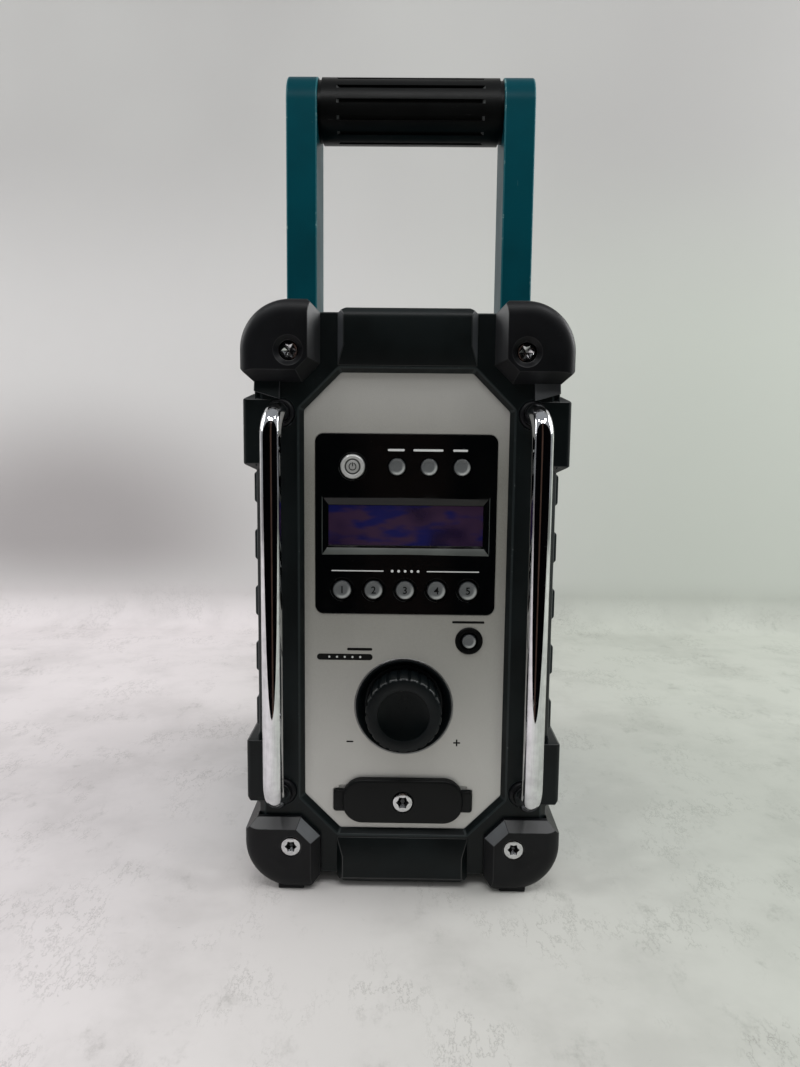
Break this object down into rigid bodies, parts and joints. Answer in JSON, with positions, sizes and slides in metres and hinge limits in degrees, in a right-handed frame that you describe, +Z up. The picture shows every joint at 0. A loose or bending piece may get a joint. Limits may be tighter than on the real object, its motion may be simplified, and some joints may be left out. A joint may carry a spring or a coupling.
{
  "type": "jobsite radio",
  "caption": "Portable jobsite radio in a black impact frame with corner bumpers, chrome roll bars, a swing handle and side speakers.",
  "frame": {"origin": "middle of the rest face under the rubber feet, half way between the roll bars' front and the rear bumpers", "axes": "+Z up, -Y out of the control panel, +X to the right seen from the front"},
  "size_m": [0.163, 0.282, 0.452],
  "materials": {
    "frame_plastic": "satin black moulded plastic",
    "bumper_rubber": "soft-touch black rubber",
    "silver_panel": "satin silver-grey lacquer",
    "gloss_black": "gloss black",
    "lcd_glass": "dark blue-violet display glass",
    "chrome": "polished chrome",
    "silver_button": "turned and brushed",
    "button_grey": "smoky translucent grey",
    "knob_black": "fine-grained black plastic",
    "cover_rubber": "soft black rubber",
    "teal_plastic": "teal moulded plastic",
    "teal_paint": "teal satin paint",
    "grip_rubber": "black grip rubber",
    "grille_metal": "black powder coat",
    "zinc_steel": "zinc-plated steel",
    "speaker_cone": "pressed paper cone",
    "circuit_board": "green circuit board",
    "contact_brass": "spring brass",
    "inner_plastic": "plain black moulding"
  },
  "bodies": {
    "radio_body": {"antenna_socket": "zinc_steel", "aux_socket": "inner_plastic", "battery_bay": "inner_plastic", "battery_terminals": "contact_brass", "bumper_screws": "chrome", "button_board": "circuit_board", "control_panel": "silver_panel", "dc_socket": "inner_plastic", "display_panel": "gloss_black", "encoder_body": "zinc_steel", "front_bumper_lower_left": "bumper_rubber", "front_bumper_lower_right": "bumper_rubber", "front_bumper_upper_left": "bumper_rubber", "front_bumper_upper_right": "bumper_rubber", "front_frame": "frame_plastic", "handle_pivot_bolts": "zinc_steel", "jack_cover_hub": "cover_rubber", "jack_cover_screw": "chrome", "jack_tray": "inner_plastic", "knob_dish": "knob_black", "lcd_module": "inner_plastic", "lcd_window": "lcd_glass", "left_grille": "grille_metal", "left_housing": "teal_plastic", "left_roll_bar": "chrome", "left_speaker_basket": "zinc_steel", "main_board": "circuit_board", "rear_bumper_lower_left": "bumper_rubber", "rear_bumper_lower_right": "bumper_rubber", "rear_bumper_upper_left": "bumper_rubber", "rear_bumper_upper_right": "bumper_rubber", "rear_frame": "frame_plastic", "right_grille": "grille_metal", "right_housing": "teal_plastic", "right_roll_bar": "chrome", "right_speaker_basket": "zinc_steel", "roll_bar_grommets": "bumper_rubber", "rubber_feet": "bumper_rubber", "speaker_cones": "speaker_cone", "tune_button_ring": "gloss_black"},
    "handle": {"handle_arm_left": "teal_paint", "handle_arm_right": "teal_paint", "handle_grip": "grip_rubber"},
    "power_key": {"power_button": "silver_button"},
    "band_key": {"band_button": "button_grey"},
    "menu_key": {"menu_button": "button_grey"},
    "info_key": {"info_button": "button_grey"},
    "tune_key": {"tune_button": "button_grey"},
    "knob_push": {"encoder_plunger": "zinc_steel"},
    "knob": {"volume_knob": "knob_black", "encoder_shaft": "zinc_steel"},
    "left_flap": {"jack_flap_left": "cover_rubber"},
    "right_flap": {"jack_flap_right": "cover_rubber"},
    "rear_door": {"battery_door": "frame_plastic"},
    "latch": {"door_latch": "bumper_rubber"},
    "preset_key_1": {"preset_button_1": "button_grey"},
    "preset_key_2": {"preset_button_2": "button_grey"},
    "preset_key_3": {"preset_button_3": "button_grey"},
    "preset_key_4": {"preset_button_4": "button_grey"},
    "preset_key_5": {"preset_button_5": "button_grey"}
  },
  "joints": [
    {"name": "handle_swing", "type": "hinge", "parent": "radio_body", "child": "handle", "pos_m": [0, 0, 0.262], "axis": [1, 0, 0], "range_deg": [-56, 52]},
    {"name": "power_press", "type": "slide", "parent": "radio_body", "child": "power_key", "axis": [0, 1, 0], "range_m": [0, 0.001], "stiffness_N_per_m": 800, "springref_m": -0.0005},
    {"name": "band_press", "type": "slide", "parent": "radio_body", "child": "band_key", "axis": [0, 1, 0], "range_m": [0, 0.001], "stiffness_N_per_m": 600, "springref_m": -0.0005},
    {"name": "menu_press", "type": "slide", "parent": "radio_body", "child": "menu_key", "axis": [0, 1, 0], "range_m": [0, 0.001], "stiffness_N_per_m": 600, "springref_m": -0.0005},
    {"name": "info_press", "type": "slide", "parent": "radio_body", "child": "info_key", "axis": [0, 1, 0], "range_m": [0, 0.001], "stiffness_N_per_m": 600, "springref_m": -0.0005},
    {"name": "tune_press", "type": "slide", "parent": "radio_body", "child": "tune_key", "axis": [0, 1, 0], "range_m": [0, 0.001], "stiffness_N_per_m": 600, "springref_m": -0.0005},
    {"name": "preset_1_press", "type": "slide", "parent": "radio_body", "child": "preset_key_1", "axis": [0, 1, 0], "range_m": [0, 0.001], "stiffness_N_per_m": 600, "springref_m": -0.0005},
    {"name": "preset_2_press", "type": "slide", "parent": "radio_body", "child": "preset_key_2", "axis": [0, 1, 0], "range_m": [0, 0.001], "stiffness_N_per_m": 600, "springref_m": -0.0005},
    {"name": "preset_3_press", "type": "slide", "parent": "radio_body", "child": "preset_key_3", "axis": [0, 1, 0], "range_m": [0, 0.001], "stiffness_N_per_m": 600, "springref_m": -0.0005},
    {"name": "preset_4_press", "type": "slide", "parent": "radio_body", "child": "preset_key_4", "axis": [0, 1, 0], "range_m": [0, 0.001], "stiffness_N_per_m": 600, "springref_m": -0.0005},
    {"name": "preset_5_press", "type": "slide", "parent": "radio_body", "child": "preset_key_5", "axis": [0, 1, 0], "range_m": [0, 0.001], "stiffness_N_per_m": 600, "springref_m": -0.0005},
    {"name": "knob_press", "type": "slide", "parent": "radio_body", "child": "knob_push", "axis": [0, 1, 0], "range_m": [0, 0.001], "stiffness_N_per_m": 1500, "springref_m": -0.0005},
    {"name": "knob_turn", "type": "hinge", "parent": "knob_push", "child": "knob", "pos_m": [0, -0.12, 0.096], "axis": [0, -1, 0], "continuous": true},
    {"name": "left_flap_hinge", "type": "hinge", "parent": "radio_body", "child": "left_flap", "pos_m": [-0.00915, -0.118, 0.046], "axis": [0, 0, 1], "range_deg": [0, 100], "stiffness_Nm_per_rad": 0.02, "springref_deg": -5.73},
    {"name": "right_flap_hinge", "type": "hinge", "parent": "radio_body", "child": "right_flap", "pos_m": [0.00915, -0.118, 0.046], "axis": [0, 0, -1], "range_deg": [0, 100], "stiffness_Nm_per_rad": 0.02, "springref_deg": -5.73},
    {"name": "door_hinge", "type": "hinge", "parent": "radio_body", "child": "rear_door", "pos_m": [0, 0.1371, 0.057], "axis": [-1, 0, 0], "range_deg": [0, 100]},
    {"name": "latch_slide", "type": "slide", "parent": "rear_door", "child": "latch", "axis": [0, 0, 1], "range_m": [0, 0.004]}
  ]
}
